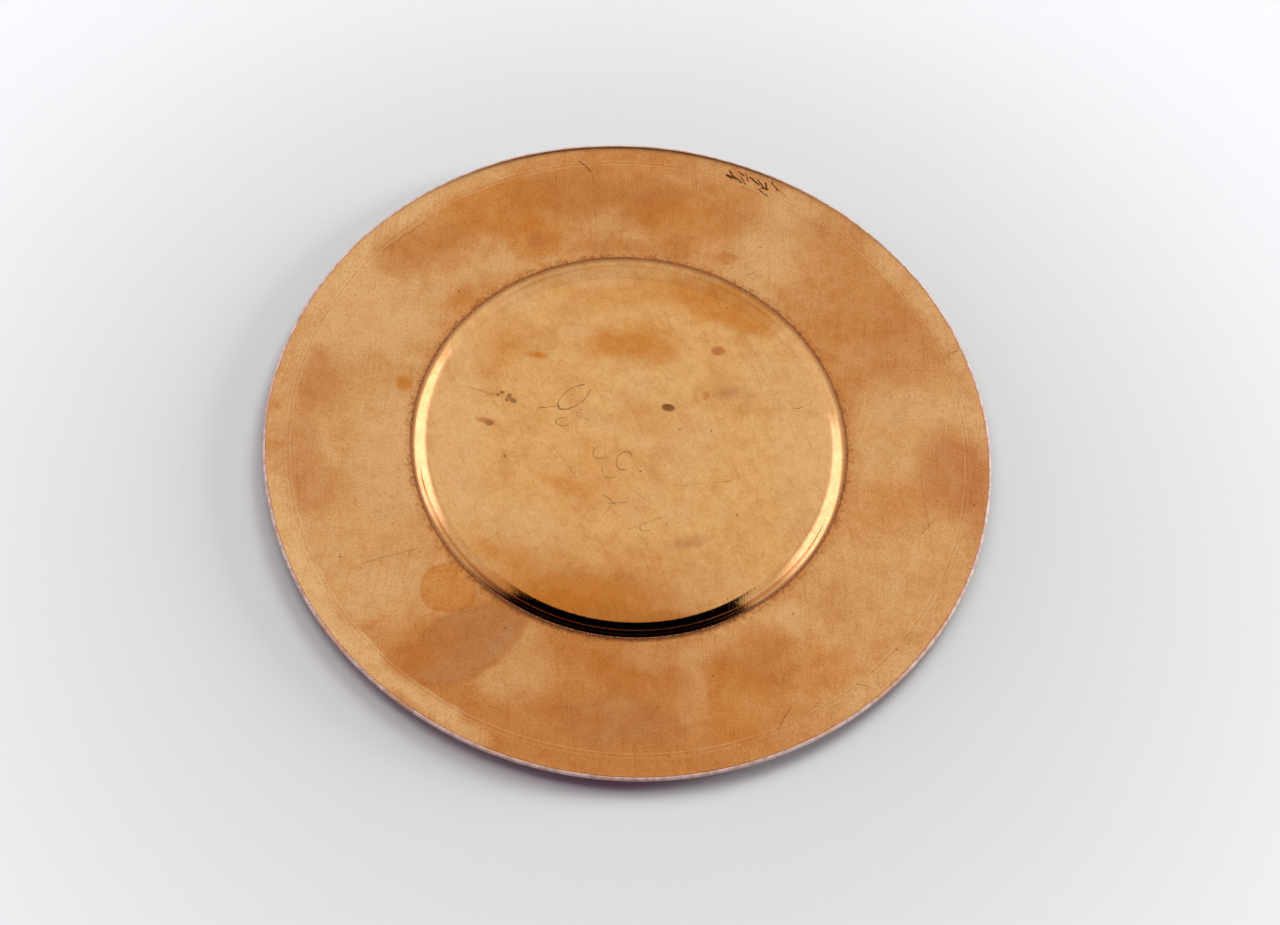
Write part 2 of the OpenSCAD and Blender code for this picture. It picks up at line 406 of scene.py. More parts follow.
wellScratches = [
    ((-20, 6.2), (-15.5, 7.4), 0.09, 0.6), ((-20, 8.0), (-19.0, 6.4), 0.07, 0.4),
    ((-15.5, -2.5), (-9.8, -9), 0.07, 0.5), ((1.5, -9.8), (5.5, -12.4), 0.07, 0.4),
    ((9.4, -15), (2.0, -19.4), 0.07, 0.4), ((-3.8, -12.2), (-1.2, -14), 0.1, 0.7),
    ((-1.6, -13.4), (-3.6, -17.4), 0.08, 0.6), ((-3, -14), (1, -13.2), 0.08, 0.6),
    ((-28, -28), (-24, -24), 0.07, 0.4), ((5, 19), (6, 17), 0.07, 0.4),
    ((-12, 5.6), (-9, 5.0), 0.07, 0.4), ((33, 14), (35, 14.8), 0.09, 0.6),
    ((-28.6, 6), (-26.8, 3.6), 0.07, 0.4), ((10, -8), (22, -5), 0.05, 0.3),
]
# centre, half sizes (mm), turn and gap (degrees), width (mm), strength
wellLoops = [
    ((-12.8, 10), (4.2, 1.9), 48, 20, 0.1, 0.7), ((-14, 3.8), (1.9, 1.0), 10, 60, 0.09, 0.5),
    ((-0.6, -3.6), (1.6, 2.3), -15, 40, 0.1, 0.6), ((-5, -2), (2.4, 1.5), 30, 90, 0.09, 0.5),
    ((-2.6, -5.4), (3.0, 1.8), 60, 110, 0.09, 0.4), ((8, -16.5), (4.4, 1.3), 35, 120, 0.08, 0.4),
]


def setShader(material, **values):
    shader = material.node_tree.nodes["Principled BSDF"]
    for socket, value in values.items():
        shader.inputs[socket.replace("_", " ")].default_value = value
    return shader


def feedShader(tree, shader, colour, rough, height, tallest):
    bump = put(tree, "ShaderNodeBump", {"Height": calc(tree, "MULTIPLY", height, tallest),
                                        "Strength": 1.0, "Distance": 1.0})
    tree.links.new(colour, shader.inputs["Base Color"])
    tree.links.new(rough, shader.inputs["Roughness"])
    tree.links.new(bump.outputs[0], shader.inputs["Normal"])


def newMaterial(name):
    material = bpy.data.materials.new(name)
    material.use_nodes = True
    tree = material.node_tree
    place = vecCalc(tree, "SCALE", put(tree, "ShaderNodeTexCoord").outputs["Object"], Scale=toMm)
    return material, tree, place


def shove(tree, place, noiseColour, distance):
    # moves the pattern a little, by as much as the distance from side to side
    middle = vecCalc(tree, "SUBTRACT", noiseColour, (0.5, 0.5, 0.5))
    return vecCalc(tree, "ADD", place, vecCalc(tree, "SCALE", middle, Scale=distance))


def tint(skin, mask, strength, tone):
    tree = skin["tree"]
    factor = calc(tree, "MULTIPLY", mask, strength)
    skin["colour"] = blend(tree, factor, skin["colour"], gilt[tone])


def coat(skin, factor, layer):
    skin["colour"] = blend(skin["tree"], factor, skin["colour"], film[layer], "MULTIPLY")


def cloudy(skin, layer):
    settings = dict(cloudLayers[layer])
    settings["seed"] += skin["seed"]
    return cover(skin["tree"], mottle, position=skin["place"], **settings)


def lined(skin, layer):
    turn, seedShare, length, pitch, low, high = lineLayers[layer]
    return cover(skin["tree"], hairLines, position=skin["place"], length=length, pitch=pitch,
                 turn=turn + skin["seed"] * seedShare, low=low, high=high)


def ringed(skin, radius, width, grain, ragged):
    return cover(skin["tree"], ringLine, position=skin["place"], radius=radius, width=width,
                 grain=grain, ragged=ragged)


def addOvals(skin, ovalRows, coarse, fine):
    tree, place = skin["tree"], skin["place"]
    # the outlines wander, coarsely and finely, and the ovals are thin in places
    wandered = shove(tree, place, coarse, wear["coarseWander"])
    wandered = shove(tree, wandered, fine, wear["fineWander"])
    steady = shove(tree, place, coarse, wear["steadyWander"])
    broken = ramp(tree, cloudy(skin, "broken"), 0.0, 1.0, wear["thinnest"], 1.0, smooth=False)
    for x, y, longHalf, shortHalf, turn, softness, tone, strength in ovalRows:
        small, crisp = longHalf < smallOval, softness < crispOval
        mask = cover(tree, softOval, position=place if small else steady if crisp else wandered,
                     centre=(x, y, 0), halfSize=(longHalf, shortHalf, 1),
                     turn=-math.radians(turn), softness=softness)
        if crisp and not small:
            outline = calc(tree, "MULTIPLY", mask, calc(tree, "SUBTRACT", 1.0, mask))
            tint(skin, outline, wear["outline"], "deep")
        elif not small:
            mask = calc(tree, "MULTIPLY", broken, mask)
        mask = calc(tree, "MULTIPLY", mask, strength * (1.0 if small else wear["ovalShare"]))
        skin["colour"] = blend(tree, mask, skin["colour"], gilt[tone])
        # darker ovals, real tarnish and painted dark reflection alike, also make the metal rougher
        if tone not in ("pale", "light"):
            skin["tarnish"] = calc(tree, "MAXIMUM", skin["tarnish"], mask)


def addMarks(skin, scratches, loops, jittered):
    tree = skin["tree"]
    marks = 0.0
    for start, end, width, strength in scratches:
        mask = cover(tree, scratchLine, position=jittered, start=(*start, 0), end=(*end, 0),
                     width=width)
        marks = calc(tree, "MAXIMUM", marks, calc(tree, "MULTIPLY", mask, strength))
    for centre, halves, turn, opening, width, strength in loops:
        mask = cover(tree, scratchLoop, position=jittered, centre=(*centre, 0),
                     halfSize=(*halves, 1), turn=-math.radians(turn),
                     opening=math.radians(opening), width=width)
        marks = calc(tree, "MAXIMUM", marks, calc(tree, "MULTIPLY", mask, strength))
    skin["marks"] = marks
    skin["colour"] = blend(tree, marks, skin["colour"], gilt["hair"])


def giltFinish(name, base, ovalRows, scratches, loops, seed, dust=1.0):
    material, tree, place = newMaterial(name)
    skin = {"material": material, "tree": tree, "place": place, "seed": seed,
            "colour": gilt[base], "reach": vecCalc(tree, "LENGTH", flatten(tree, place), out=1)}
    coarse = noise(tree, place, *grains["coarse"], out=1)
    fine = noise(tree, place, *grains["fine"], out=1)
    skin["tarnish"] = cloudy(skin, "patches")
    tint(skin, skin["tarnish"], wear["patches"], "brown")
    tint(skin, cloudy(skin, "cloud"), wear["cloud"], "brown")
    tint(skin, cloudy(skin, "bloom"), wear["bloom"], "light")
    skin["rubbed"], skin["crossed"] = lined(skin, "rubbed"), lined(skin, "crossed")
    tint(skin, skin["rubbed"], wear["rubbed"], "light")
    tint(skin, skin["crossed"], wear["crossed"], "brown")
    addOvals(skin, ovalRows, coarse, fine)
    dusting = noise(tree, place, *grains["dust"])
    for layer, fade in dustFades.items():
        coat(skin, ramp(tree, dusting, *fade, toHigh=dust), layer)
    coat(skin, calc(tree, "MULTIPLY", cloudy(skin, "veil"), dust), "veil")
    coat(skin, lined(skin, "streaks"), "streak")
    pricks = cover(tree, specks, position=place, seed=seed, **pinPricks)
    tint(skin, pricks, wear["pricks"], "dark")
    addMarks(skin, scratches, loops, shove(tree, place, fine, wear["jitter"]))
    return skin


def closeGilt(skin, extraRough):
    tree, polish = skin["tree"], wear["polish"]
    rough = ramp(tree, skin["tarnish"], 0.0, 1.0, polish, polish + wear["tarnished"], smooth=False)
    rough = calc(tree, "ADD", rough, calc(tree, "MULTIPLY", skin["marks"], wear["scratched"]))
    rough = calc(tree, "MAXIMUM", calc(tree, "ADD", rough, extraRough), wear["smoothest"])
    grain = noise(tree, skin["place"], *grains["metal"])
    height = calc(tree, "MULTIPLY", grain, relief["grain"])
    for layer in ("rubbed", "crossed", "marks"):
        height = calc(tree, "ADD", height, calc(tree, "MULTIPLY", skin[layer], relief[layer]))
    feedShader(tree, setShader(skin["material"], Metallic=1.0), skin["colour"], rough, height, mm)
    return skin["material"]


def fadeRound(skin, span):
    # between two radii, measured from the pan's corner
    edge = panRadius * toMm
    return ramp(skin["tree"], skin["reach"], edge + span[0], edge + span[1])


def fadeNear(skin, span):
    # towards the near side, between two places along y
    return ramp(skin["tree"], split(skin["tree"], skin["place"])[1], *span)


def soil(skin, seamDirtAndShade):
    # dirt in the seam
    offset, *shape = seamDirtAndShade["grime"]
    tint(skin, ringed(skin, panRadius * toMm + offset, *shape), seamDirtAndShade["grimeShare"], "dark")


def shadeNearSide(skin, seamDirtAndShade, tone):
    # painted dark reflection and shade beside the seam, on the near side only
    mask = calc(skin["tree"], "MULTIPLY", fadeRound(skin, seamDirtAndShade["nearShadeSpan"]),
                fadeNear(skin, seamDirtAndShade["nearShadeFrom"]))
    tint(skin, mask, seamDirtAndShade["nearShadeShare"], tone)


# beside the seam: radii from the pan's corner (mm), shares, and for a ring its offset, width,
# grain (mm) and raggedness
wellEdge = {
    "lip": (-1.0, -0.1), "lipShare": 0.75, "lipRough": 0.2,     # dressed, so less well gilt
    "grime": (0.1, 0.3, 0.6, 0.5), "grimeShare": 0.5,
    # painted dark reflection on the near wall, next to the seam
    "nearShadeSpan": (-2.6, -1.7), "nearShadeFrom": (-33, -40), "nearShadeShare": 0.85,
    "polished": (-6.2, -4.8), "polishedRough": 0.1,             # the wall was never rubbed dull
}


def wellFinish():
    skin = giltFinish("giltWell", "well", wellStainsAndReflections, wellScratches, wellLoops,
                      seed=11.0, dust=0.72)
    tree = skin["tree"]
    lip = fadeRound(skin, wellEdge["lip"])
    tint(skin, lip, wellEdge["lipShare"], "lip")
    soil(skin, wellEdge)
    # painted dark reflection at the near side of the seam
    shadeNearSide(skin, wellEdge, "nearSeamDarkReflection")
    polished = fadeRound(skin, wellEdge["polished"])
    return closeGilt(skin, calc(tree, "SUBTRACT", calc(tree, "MULTIPLY", lip, wellEdge["lipRough"]),
                                calc(tree, "MULTIPLY", polished, wellEdge["polishedRough"])))


rimEdge = {
    "halo": (0.0, 1.5, 1.6, 0.6), "haloShare": 0.4,
    "grime": (0.14, 0.3, 0.7, 0.8), "grimeShare": 0.58,
    "crumbs": {"size": 1.1, "detail": 3.0, "low": 0.5, "high": 0.6, "seed": 61.0},
    "crumbsOver": (2.6, 0.3), "crumbsShare": 0.55,
    # painted shade on the rim beside the seam, on the near side
    "nearShadeSpan": (1.3, 0.3), "nearShadeFrom": (-33, -42), "nearShadeShare": 0.7,
}
rimRough = 0.06


def rimFinish():
    skin = giltFinish("giltRim", "rim", rimStains, rimScratches, [], seed=40.0)
    offset, *shape = rimEdge["halo"]
    tint(skin, ringed(skin, panRadius * toMm + offset, *shape), rimEdge["haloShare"], "brown")
    soil(skin, rimEdge)
    crumbs = cover(skin["tree"], mottle, position=skin["place"], **rimEdge["crumbs"])
    crumbs = calc(skin["tree"], "MULTIPLY", crumbs, fadeRound(skin, rimEdge["crumbsOver"]))
    tint(skin, crumbs, rimEdge["crumbsShare"], "crust")
    # painted shade at the near side of the seam
    shadeNearSide(skin, rimEdge, "dark")
    return closeGilt(skin, rimRough)


# lengths of the strip that are paler or browner than the rim (mm), each with its place round
# the plate (degrees), tone and strength
borderPatches = {
    "radius": 72.4, "halfLong": 11.0, "halfShort": 2.7, "softness": 0.45,
    "rows": [
        (15, "light", 0.3), (30, "light", 0.5), (43, "light", 0.5), (92, "brown", 0.4),
        (125, "light", 0.5), (140, "light", 0.6), (155, "light", 0.5), (200, "light", 0.6),
        (215, "light", 0.85), (230, "light", 0.85), (244, "light", 0.6), (318, "light", 0.3),
    ],
}
# radius, width (mm), tone, strength: the strip's burnished inner edge, drawn as painted sheen
# (light) and painted shade (deep, brown) lines
borderEdgeSheenAndShade = [
    (69.6, 0.18, "light", 0.22), (69.9, 0.12, "deep", 0.3), (70.5, 0.14, "light", 0.16),
    (70.8, 0.1, "brown", 0.25),
]
lineBreaks = (4.0, 0.9)     # the line's grain (mm) and raggedness
stripReach = 66     # stains that come further out than this (mm) run on over the strip


def borderFinish():
    ovalRows = [row for row in rimStains
              if math.hypot(row[0], row[1]) + max(row[2], row[3]) > stripReach]
    long, short = borderPatches["halfLong"], borderPatches["halfShort"]
    for angle, tone, strength in borderPatches["rows"]:
        x = borderPatches["radius"] * math.cos(math.radians(angle))
        y = borderPatches["radius"] * math.sin(math.radians(angle))
        ovalRows.append((x, y, long, short, angle + 90, borderPatches["softness"], tone, strength))
    skin = giltFinish("giltBorder", "border", ovalRows, rimScratches + borderScratches, [],
                      seed=40.0)
    # painted sheen and shade lines at the strip's inner edge
    for radius, width, tone, strength in borderEdgeSheenAndShade:
        tint(skin, ringed(skin, radius, width, *lineBreaks), strength, tone)
    return closeGilt(skin, rimRough)


silver = {
    "bright": srgb(208, 182, 170), "dull": srgb(160, 120, 106), "gilded": srgb(196, 140, 100),
    "dullShare": 0.5, "gildedShare": 0.6, "metallic": 0.4, "roughness": (0.5, 0.68),
    "worn": {"size": 1.6, "detail": 5.0, "low": 0.42, "high": 0.6, "seed": 3.0},
    "gold": {"size": 9.0, "detail": 3.0, "low": 0.5, "high": 0.62, "seed": 8.0},
    "dents": (1.4, 4.0), "dentDepth": 0.04 * mm,
}


def silverFinish():
    material, tree, place = newMaterial("bareSilver")
    worn = cover(tree, mottle, position=place, **silver["worn"])
    gold = cover(tree, mottle, position=place, **silver["gold"])
    colour = blend(tree, calc(tree, "MULTIPLY", worn, silver["dullShare"]),
                   silver["bright"], silver["dull"])
    colour = blend(tree, calc(tree, "MULTIPLY", gold, silver["gildedShare"]),
                   colour, silver["gilded"])
    feedShader(tree, setShader(material, Metallic=silver["metallic"]), colour,
               ramp(tree, worn, 0.0, 1.0, *silver["roughness"]),
               noise(tree, place, *silver["dents"]), silver["dentDepth"])
    return material


solder = {
    "dark": srgb(98, 52, 34), "light": srgb(182, 114, 68), "metallic": 0.3,
    "roughness": (0.55, 0.8), "pits": (4.0, 4.0), "pitDepth": 0.05 * mm,
    "crust": {"size": 0.5, "detail": 4.0, "low": 0.35, "high": 0.65, "seed": 5.0},
}


def solderFinish():
    material, tree, place = newMaterial("darkSolder")
    crust = cover(tree, mottle, position=place, **solder["crust"])
    feedShader(tree, setShader(material, Metallic=solder["metallic"]),
               blend(tree, crust, solder["dark"], solder["light"]),
               ramp(tree, crust, 0.0, 1.0, *solder["roughness"]),
               noise(tree, place, *solder["pits"]), solder["pitDepth"])
    return material


giltWell = wellFinish()
giltRim = rimFinish()
giltBorder = borderFinish()
bareSilver = silverFinish()
darkSolder = solderFinish()
print("finishes made")


weldDistance = 0.0005 * mm


def turnSection(name, outline, steps=360, closed=True):
    # a point is drawn along the outline, in radius and height, then spun round the axis
    bpy.ops.object.select_all(action="DESELECT")
    bpy.ops.mesh.primitive_plane_add(size=mm, location=(0, 0, 0))
    piece = bpy.context.active_object
    piece.name = piece.data.name = name
    bpy.ops.object.mode_set(mode="EDIT")
    bpy.ops.mesh.select_all(action="SELECT")
    bpy.ops.mesh.merge(type="CENTER")
    radius, height = outline[0]
    bpy.ops.transform.translate(value=(radius, 0, height))
    for nextRadius, nextHeight in outline[1:] + ([outline[0]] if closed else []):
        bpy.ops.mesh.extrude_vertices_move(
            TRANSFORM_OT_translate={"value": (nextRadius - radius, 0, nextHeight - height)})
        radius, height = nextRadius, nextHeight
    bpy.ops.mesh.select_all(action="SELECT")
    bpy.ops.mesh.remove_doubles(threshold=weldDistance)
    bpy.ops.mesh.select_all(action="SELECT")
    bpy.ops.mesh.spin(steps=steps, angle=math.tau, center=(0, 0, 0), axis=(0, 0, 1))
    bpy.ops.mesh.select_all(action="SELECT")
    bpy.ops.mesh.remove_doubles(threshold=weldDistance)
    bpy.ops.mesh.select_all(action="SELECT")
    bpy.ops.mesh.normals_make_consistent(inside=False)
    bpy.ops.object.mode_set(mode="OBJECT")
    return piece


def arc(centreRadius, centreHeight, radius, fromDegrees, toDegrees, count):
    points = []
    for step in range(count + 1):
        angle = math.radians(fromDegrees + (toDegrees - fromDegrees) * step / count)
        points.append((centreRadius + radius * math.cos(angle),
                       centreHeight + radius * math.sin(angle)))
    return points


def displace(piece, texture, strength, direction):
    wave = piece.modifiers.new("wave", "DISPLACE")
    wave.texture = texture
    wave.texture_coords = "LOCAL"
    wave.strength = strength
    wave.mid_level = 0.5
    wave.direction = direction
    bpy.context.view_layer.objects.active = piece
    bpy.ops.object.modifier_apply(modifier=wave.name)


def newClouds(name, scale, depth):
    clouds = bpy.data.textures.new(name, "CLOUDS")
    clouds.noise_scale = scale
    clouds.noise_depth = depth
    return clouds


handwork = {"hammerMark": 0.12 * mm, "outlineDrift": 0.5 * mm, "creaseAngle": 40}
hammered = newClouds("hammered", 22 * mm, 1)      # the sheet isn't quite flat
wandering = newClouds("wandering", 30 * mm, 0)    # nor is the outline quite round
crumbly = newClouds("crumbly", 0.5 * mm, 3)       # the solder is


def finishPiece(piece, material, node):
    displace(piece, hammered, handwork["hammerMark"], "Z")
    displace(piece, wandering, handwork["outlineDrift"], "X")
    displace(piece, wandering, handwork["outlineDrift"], "Y")
    bpy.ops.object.select_all(action="DESELECT")
    piece.select_set(True)
    bpy.context.view_layer.objects.active = piece
    bpy.ops.object.shade_smooth_by_angle(angle=math.radians(handwork["creaseAngle"]))
    piece.data.materials.clear()
    piece.data.materials.append(material)
    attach(piece, "root")
    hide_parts(node)
    print("made", piece.name, len(piece.data.polygons), "faces")


# the wall's slopes are in degrees, and the lip stops short of the pan's corner
pan = {
    "sheet": 0.6 * mm, "wallRadius": 6.0 * mm, "floorRings": 26, "wallSteps": 26,
    "outerSteps": 16, "outerStop": 0.8, "steepest": 44, "lipSlope": 15, "lipSteps": 8,
    "lipShort": 0.03 * mm, "lipDrop": 0.02 * mm,
}
outerTurn = pan["wallRadius"] + pan["sheet"]


def wallReach(height):
    # how far outside the flat floor the pan's underside has come at this height
    return math.sqrt(outerTurn ** 2 - (outerTurn - height) ** 2)


floorRadius = panRadius - wallReach(rimTop)


def makeWellPan():
    outerTop = math.degrees(math.acos((outerTurn - rimTop) / outerTurn)) - 90
    rings, steps = pan["floorRings"], pan["lipSteps"]
    floor = [(floorRadius * step / rings, 0.0) for step in range(rings)]
    outline = list(floor)
    outline += arc(floorRadius, outerTurn, outerTurn, -90, outerTop - pan["outerStop"],
                   pan["outerSteps"])
    # the wall rolls over into the cut edge, which is dressed down to a soft slope
    steepest, flattest = pan["steepest"], pan["lipSlope"]
    wall = arc(floorRadius, outerTurn, pan["wallRadius"], -90, steepest - 90, pan["wallSteps"])
    radius, height = wall[-1]
    slopes = [math.radians(steepest + (flattest - steepest) * (step + 0.5) / steps)
              for step in range(steps)]
    stride = (panRadius - pan["lipShort"] - radius) / sum(math.cos(slope) for slope in slopes)
    climb = (rimTop - pan["lipDrop"] - height) / (stride * sum(math.sin(slope) for slope in slopes))
    lip = []
    for slope in slopes:
        radius += stride * math.cos(slope)
        height += stride * math.sin(slope) * climb
        lip.append((radius, height))
    outline += list(reversed(lip)) + list(reversed(wall))
    outline += [(radius, pan["sheet"]) for radius, height in reversed(floor)]
    piece = turnSection("wellPan", outline, closed=False)
    finishPiece(piece, giltWell, "well_pan")


rimSheet = {"seamGap": 0.08 * mm, "edgeRound": 0.12 * mm, "roundSteps": 4, "rings": 16}
bore = panRadius + rimSheet["seamGap"]


def makeRimFlange():
    rounding, rings = rimSheet["edgeRound"], rimSheet["rings"]
    across = [bore + rounding + (rimOuter - bore - rounding) * step / rings
              for step in range(rings + 1)]
    outline = [(bore, rimLow), (bore, rimTop - rounding)]
    outline += arc(bore + rounding, rimTop - rounding, rounding, 180, 90, rimSheet["roundSteps"])
    outline += [(radius, rimTop) for radius in across[1:]]
    outline += [(radius, rimLow) for radius in reversed(across)]
    piece = turnSection("rimFlange", outline)
    finishPiece(piece, giltRim, "rim_flange")


border = {
    "inner": 69.4 * mm, "step": 0.02 * mm, "feather": 3.0 * mm, "corner": 0.06 * mm,
    "cornerSteps": 3, "featherShares": (0.2, 0.4, 0.6, 0.8, 1.0), "underside": (3.4 * mm, 1.7 * mm),
}


def makeBorderBand():
    # the strip is feathered down to nothing at its inner edge
    inner, step, corner = border["inner"], border["step"], border["corner"]
    rise = borderTop - rimTop
    outline = [(inner, rimTop), (inner, rimTop + step)]
    outline += [(inner + border["feather"] * share,
                 rimTop + step + (rise - step) * math.sin(math.pi / 2 * share))
                for share in border["featherShares"]]
    outline += arc(rimOuter - corner, borderTop - corner, corner, 90, 0, border["cornerSteps"])
    outline += [(rimOuter, rimTop)] + [(inner + back, rimTop) for back in border["underside"]]
    piece = turnSection("borderBand", outline)
    finishPiece(piece, giltBorder, "border_band")


wire = {
    "width": 0.6 * mm, "corner": 0.05 * mm, "roundTo": 78, "roundSteps": 14, "steps": 540,
    "nickSize": 1.6 * mm, "nickDepth": 0.06 * mm,
}
wireInner = plateRadius - wire["width"]


def makeEdgeWire():
    half, corner = (borderTop - rimLow) / 2, wire["corner"]
    outline = arc(plateRadius - half, rimLow + half, half, -wire["roundTo"], wire["roundTo"],
                  wire["roundSteps"])
    outline += [(wireInner + corner, borderTop), (wireInner, borderTop - corner),
                (wireInner, rimLow + corner), (wireInner + corner, rimLow)]
    piece = turnSection("edgeWire", outline, steps=wire["steps"])
    displace(piece, newClouds("nicks", wire["nickSize"], 2), wire["nickDepth"], "NORMAL")
    finishPiece(piece, bareSilver, "edge_wire")


# the outline's points are out and up (mm) from the pan's corner, from the rim's upper corner
# and from the rim's lower corner
seam = {
    "filletLeg": 0.6 * mm, "sink": 0.06 * mm, "wallSteps": 8, "steps": 720, "crumbDepth": 0.12 * mm,
    "panSide": ((-0.06, -0.05), (-0.02, 0.0)),
    "rimSide": ((-0.03, 0.01), (0.08, -0.03), (0.0, -0.2)),
    "fillet": ((0.0, 0.0), (0.58, 0.0), (0.3, -0.25)),
    "grains": 260, "smallest": 0.05 * mm, "largest": 0.13 * mm, "scatter": 0.22 * mm,
    "outward": 0.7, "inwardShare": 0.6, "narrowest": 0.6, "flatness": 0.7, "lift": 0.2,
}


def sprinkleGrains(piece):
    # loose grains of solder beside the seam
    chance = random.Random(5)
    bpy.ops.object.select_all(action="DESELECT")
    bpy.ops.mesh.primitive_ico_sphere_add(subdivisions=1, radius=1.0, location=(0, 0, 0))
    grain = bpy.context.active_object
    grains = []
    for number in range(seam["grains"]):
        copy = grain.copy()
        copy.data = grain.data.copy()
        bpy.context.collection.objects.link(copy)
        size = chance.uniform(seam["smallest"], seam["largest"])
        angle = chance.uniform(0, math.tau)
        offset = abs(chance.gauss(0, seam["scatter"]))
        radius = bore + offset * (1 if chance.random() < seam["outward"] else -seam["inwardShare"])
        copy.scale = (size, size * chance.uniform(seam["narrowest"], 1.0), size * seam["flatness"])
        copy.rotation_euler = (0, 0, chance.uniform(0, math.tau))
        copy.location = (radius * math.cos(angle), radius * math.sin(angle),
                         rimTop + size * seam["lift"])
        grains.append(copy)
    bpy.data.objects.remove(grain)
    bpy.ops.object.select_all(action="DESELECT")
    for copy in grains:
        copy.select_set(True)
    piece.select_set(True)
    bpy.context.view_layer.objects.active = piece
    bpy.ops.object.transform_apply(location=True, rotation=True, scale=True)
    bpy.ops.object.join()


def makeWellSolder():
    low, steps = rimLow - seam["filletLeg"], seam["wallSteps"]
    heights = [low + (rimTop - low - seam["sink"]) * step / steps for step in range(steps + 1)]
    outline = [(floorRadius + wallReach(height), height) for height in heights]
    corners = ((panRadius, rimTop, "panSide"), (bore, rimTop, "rimSide"), (bore, rimLow, "fillet"))
    for radius, height, part in corners:
        outline += [(radius + out * mm, height + up * mm) for out, up in seam[part]]
    piece = turnSection("wellSolder", outline, steps=seam["steps"])
    displace(piece, crumbly, seam["crumbDepth"], "NORMAL")
    sprinkleGrains(piece)
    finishPiece(piece, darkSolder, "well_solder")


# a fine fillet, by how far its points are from the strip's inner edge and from the rim's face
borderFillet = {
    "outer": -0.25 * mm, "crest": (-0.1 * mm, 0.008 * mm), "inner": 0.05 * mm, "sunk": 0.01 * mm,
}


def makeBorderSolder():
    inner, sunk, under = border["inner"], rimTop - borderFillet["sunk"], borderFillet["inner"]
    crestOut, crestUp = borderFillet["crest"]
    outline = [(inner + borderFillet["outer"], sunk), (inner + crestOut, rimTop + crestUp),
               (inner + under, rimTop + border["step"]), (inner + under, sunk)]
    piece = turnSection("borderSolder", outline)
    finishPiece(piece, giltBorder, "border_solder")


edgeJoint = {
    "below": 0.06 * mm, "above": 0.03 * mm, "crown": 0.02 * mm, "steps": 720,
    "crumbDepth": 0.06 * mm,
}


def makeEdgeSolder():
    low, high = rimLow + edgeJoint["below"], borderTop - edgeJoint["above"]
    outline = [(rimOuter, low), (wireInner, low), (wireInner, high),
               ((wireInner + rimOuter) / 2, high + edgeJoint["crown"]), (rimOuter, high)]
    piece = turnSection("edgeSolder", outline, steps=edgeJoint["steps"])
    displace(piece, crumbly, edgeJoint["crumbDepth"], "Z")
    finishPiece(piece, darkSolder, "edge_solder")


makeWellPan()
makeRimFlange()
makeBorderBand()
makeEdgeWire()
makeWellSolder()
makeBorderSolder()
makeEdgeSolder()


# painted shade on the paper: its tone grows lighter between two distances (mm) from the plate's
# centre, and its darker, shaded part leans to the camera
stage = {
    "size": 6.0, "near": srgb(197, 200, 198), "far": srgb(229, 231, 232), "shadeLean": 0.15,
    "shadeFrom": 50, "shadeTo": 210, "roughness": 0.9,
}


def makeFloor():
    bpy.ops.object.select_all(action="DESELECT")
    bpy.ops.mesh.primitive_plane_add(size=stage["size"], location=(0, 0, 0))
    floor = bpy.context.active_object
    floor.name = floor.data.name = "floor"
    material, tree, place = newMaterial("paperFloor")
    # painted shade round the plate and towards the front of the paper
    reach = calc(tree, "MULTIPLY_ADD", split(tree, place)[1], stage["shadeLean"],
                 vecCalc(tree, "LENGTH", place, out=1))
    tone = blend(tree, ramp(tree, reach, stage["shadeFrom"], stage["shadeTo"]),
                 stage["near"], stage["far"])
    shader = setShader(material, Roughness=stage["roughness"], Specular_IOR_Level=0.0)
    tree.links.new(tone, shader.inputs["Base Color"])
    floor.data.materials.append(material)


# azimuth, elevation and width of the light (degrees), strength, colour
suns = [
    (62, 36, 26, 1.9, (0.97, 1.03, 0.965)),
    (95, 68, 40, 0.9, (0.98, 1.025, 0.975)),
    (142, 46, 40, 0.8, (0.98, 1.025, 0.975)),
    (20, 10, 16, 3.4, (0.95, 1.04, 0.99)),
    (170, 12, 18, 0.8, (1.0, 1.0, 1.0)),
]


def makeSuns():
    for number, (azimuth, elevation, spread, strength, colour) in enumerate(suns):
        bpy.ops.object.light_add(type="SUN", location=(0, 0, 1))
        sun = bpy.context.active_object
        sun.name = f"sun{number}"
        sun.data.energy = strength
        sun.data.angle = math.radians(spread)
        sun.data.color = colour
        sun.visible_glossy = False
        turn, across = math.radians(azimuth), math.cos(math.radians(elevation))
        toward = Vector((across * math.cos(turn), across * math.sin(turn),
                         math.sin(math.radians(elevation))))
        sun.rotation_euler = toward.to_track_quat("Z", "Y").to_euler()


# what the metal reflects: middle azimuth and elevation, half widths, softness (degrees), level,
# colour, and how fast the panel narrows with height
panels = [
    (-90, 62, 170, 28, 25, 0.9, (1.0, 0.98, 1.0), 0.0),         # ceiling in front
    (93.5, 0, 17.0, 60, 1.0, 0.002, (1.0, 0.5, 0.6), 0.0027),   # dark doorway behind
    (10, 18, 36, 34, 30, 1.08, (1.0, 1.0, 1.1), 0.0),           # glow beside the lamps, right
    (170, 18, 38, 34, 30, 1.08, (1.0, 1.0, 1.1), 0.0),          # glow beside the lamps, left
    (34, 10, 24, 21, 14, 2.4, (1.0, 1.0, 1.3), 0.0),            # bank of lamps, right
    (142, 10, 21, 21, 12, 2.3, (1.0, 1.0, 1.3), 0.0),           # bank of lamps, left
    (90, 66, 90, 23, 5, 1.0, (1.0, 1.0, 1.0), 0.0),             # overhead screen behind
]
room = {
    "sides": (0.88, 0.85, 0.88, 1.0), "front": (0.55, 0.52, 0.54, 1.0),
    "frontFrom": 0.1, "frontTo": -0.5,      # how far round to the front the duller part is
    "shadowFill": (0.2, 0.1, 0.18, 1.0), "backdrop": srgb(240, 241, 243),
}


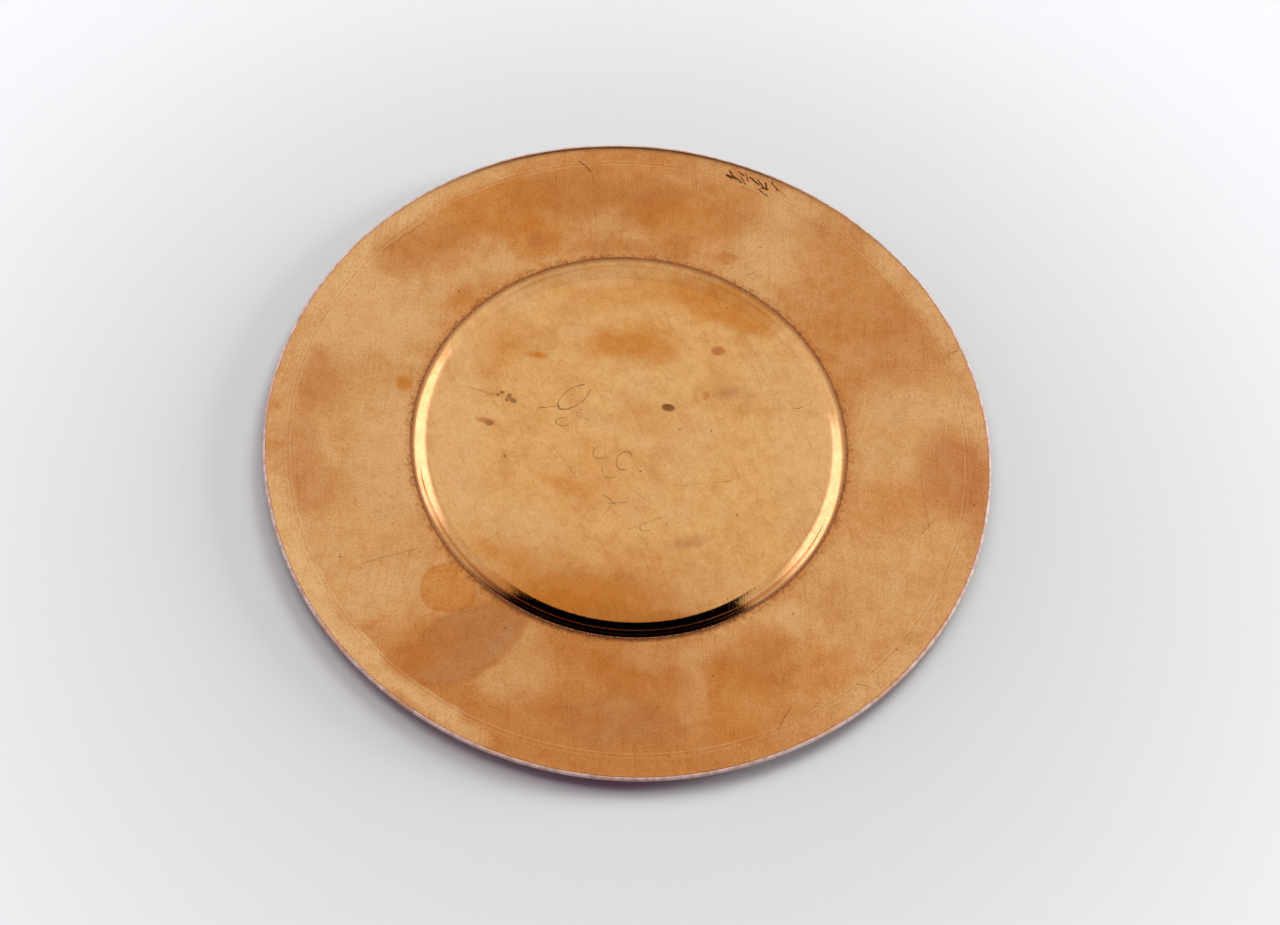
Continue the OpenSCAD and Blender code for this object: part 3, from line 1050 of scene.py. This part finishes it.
def makeWorld():
    world = bpy.data.worlds.new("studio")
    bpy.context.scene.world = world
    world.use_nodes = True
    tree = world.node_tree
    tree.nodes.clear()
    parts = split(tree, put(tree, "ShaderNodeTexCoord").outputs["Generated"])
    azimuth = calc(tree, "DEGREES", calc(tree, "ARCTAN2", parts[1], parts[0]))
    elevation = calc(tree, "DEGREES", calc(tree, "ARCSINE", parts[2]))
    total = blend(tree, ramp(tree, parts[1], room["frontFrom"], room["frontTo"]),
                  room["sides"], room["front"])
    for middle, height, halfWidth, halfHeight, softness, level, colour, taper in panels:
        turn = calc(tree, "WRAP", calc(tree, "SUBTRACT", azimuth, middle), 180.0, -180.0)
        swing = calc(tree, "ABSOLUTE", turn)
        if taper:
            swing = calc(tree, "MULTIPLY_ADD", calc(tree, "MULTIPLY", elevation, elevation),
                         taper, swing)
        across = ramp(tree, swing, halfWidth + softness / 2, halfWidth - softness / 2)
        rise = calc(tree, "ABSOLUTE", calc(tree, "SUBTRACT", elevation, height))
        up = ramp(tree, rise, halfHeight + softness / 2, halfHeight - softness / 2)
        total = blend(tree, calc(tree, "MULTIPLY", across, up), total,
                      tuple(level * part for part in colour) + (1.0,))
    rays = put(tree, "ShaderNodeLightPath").outputs
    seen = blend(tree, rays["Is Diffuse Ray"], total, room["shadowFill"])
    seen = blend(tree, rays["Is Camera Ray"], seen, room["backdrop"])
    background = put(tree, "ShaderNodeBackground", {"Color": seen})
    put(tree, "ShaderNodeOutputWorld", {"Surface": background.outputs[0]})


# where the camera looks (mm), how far off it is, how it is held (degrees), and its lens (mm)
view = {
    "target": (2.64, -3.2, 0.0), "distance": 520.6, "elevation": 60.64, "roll": 7.508,
    "lens": 70.88, "sensor": 36, "clipStart": 0.01,
}


def makeCamera():
    data = bpy.data.cameras.new("camera")
    camera = bpy.data.objects.new("camera", data)
    bpy.context.collection.objects.link(camera)
    data.lens = view["lens"]
    data.sensor_width = view["sensor"]
    data.clip_start = view["clipStart"]
    slope = math.radians(view["elevation"])
    away = Vector((0, -math.cos(slope), math.sin(slope)))
    camera.location = (Vector(view["target"]) + away * view["distance"]) * mm
    roll = Quaternion((0, 0, 1), math.radians(view["roll"]))
    camera.rotation_euler = (away.to_track_quat("Z", "Y") @ roll).to_euler()
    bpy.context.scene.camera = camera


makeFloor()
makeSuns()
makeWorld()
makeCamera()
bpy.context.scene.view_settings.view_transform = "Standard"
print("stage, light and camera set")
